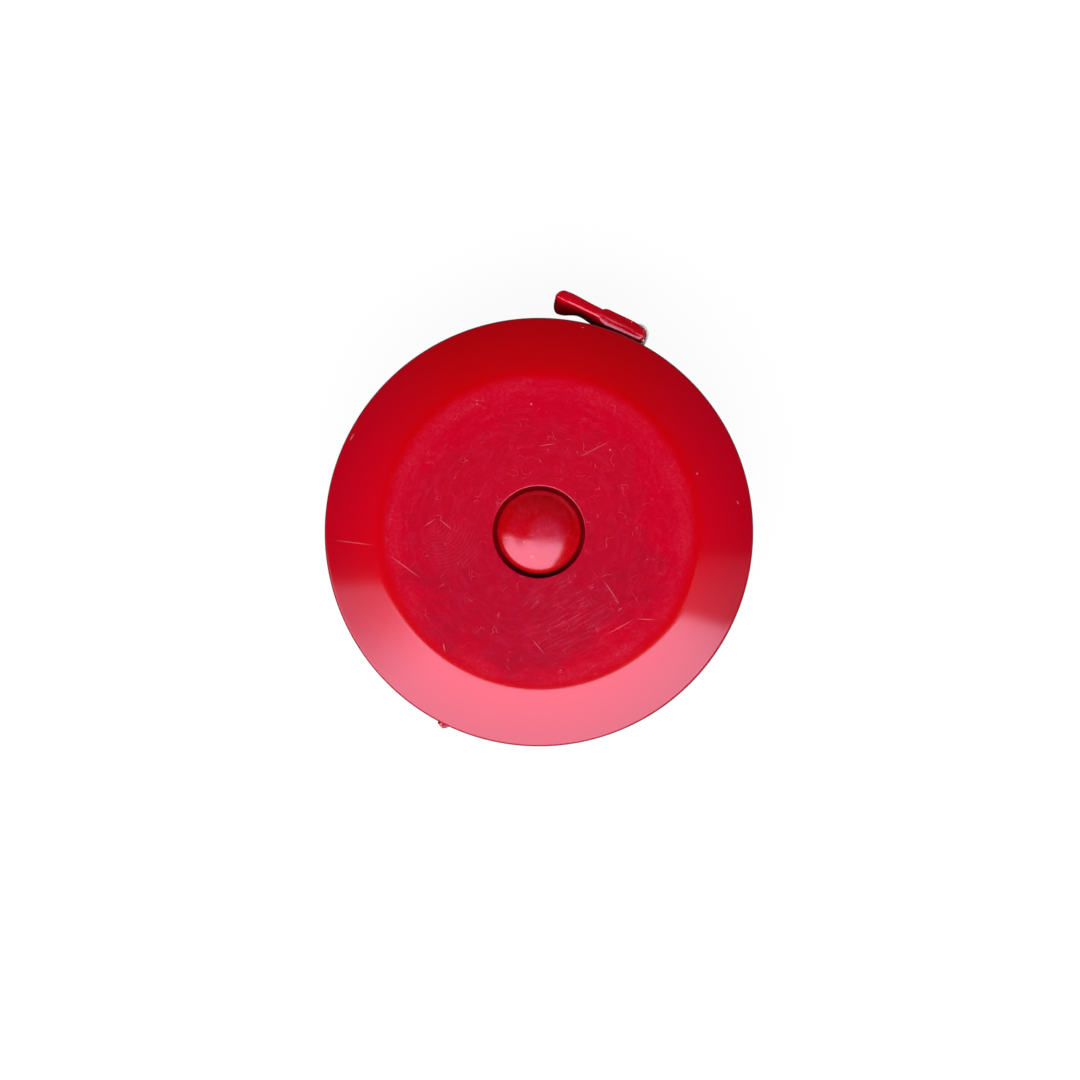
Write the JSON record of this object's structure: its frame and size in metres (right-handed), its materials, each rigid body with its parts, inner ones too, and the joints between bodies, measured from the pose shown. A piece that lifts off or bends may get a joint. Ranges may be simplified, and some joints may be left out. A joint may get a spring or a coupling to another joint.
{
  "type": "retractable tape measure",
  "caption": "Round pocket tape measure for sewing: bevelled two-shell case, centre button that frees a spring-driven reel, and a pull tab folded flat on the rim.",
  "frame": {"origin": "on the case's round axis, at the plane of its flat back face", "axes": "+Z along the case's axis out of the button's face; +Y towards the side of the rim where the pull tab lies; +X to the right when the button faces the viewer and the tab is at the top"},
  "size_m": [0.051, 0.0543, 0.016],
  "materials": {
    "case_red": "glossy moulded ABS, crimson, finely scratched on its flat face",
    "button_red": "glossy moulded ABS, worn a little matt in the middle",
    "tab_red": "glossy moulded ABS, rubbed at its edges",
    "white_acetal": "moulded acetal, off-white, satin",
    "spring_cover_film": "punched polypropylene sheet",
    "tape": "white vinyl-coated glass fibre, printed with plain ticks and numbers",
    "spring_steel": "cold-rolled spring strip and drawn wire, lightly oiled"
  },
  "bodies": {
    "case": {"upper_case": "case_red", "lower_case": "case_red", "button_spring": "spring_steel"},
    "button": {"push_button": "button_red", "brake_cone": "white_acetal"},
    "reel": {"reel_drum": "white_acetal", "reel_cover": "white_acetal", "spring_cover": "spring_cover_film", "mainspring": "spring_steel", "wound_tape": "tape"},
    "tape_lead": {"tape_run": "tape"},
    "tab": {"pull_tab": "tab_red", "tab_plate": "tab_red", "tape_fold": "tape"}
  },
  "joints": [
    {"name": "button_press", "type": "slide", "parent": "case", "child": "button", "axis": [0, 0, -1], "range_m": [0, 0.0012], "stiffness_N_per_m": 800, "springref_m": -0.0008, "deforming": ["button_spring"]},
    {"name": "tape_pull", "type": "slide", "parent": "case", "child": "tape_lead", "axis": [0.9674, 0.2533, 0], "range_m": [0, 1.5], "deforming": ["tape_run"]},
    {"name": "reel_spin", "type": "hinge", "parent": "case", "child": "reel", "pos_m": [0, 0, 0], "axis": [0, 0, -1], "range_deg": [0, 5134.3], "deforming": ["mainspring"]},
    {"name": "tab_swing", "type": "hinge", "parent": "tape_lead", "child": "tab", "pos_m": [0.01184, 0.02365, 0.0075], "axis": [0, 0, -1], "range_deg": [0, 140], "deforming": ["tape_fold"]}
  ],
  "couplings": [
    {"joint": "reel_spin", "follows": "tape_pull", "rad_per_m": 59.74}
  ]
}
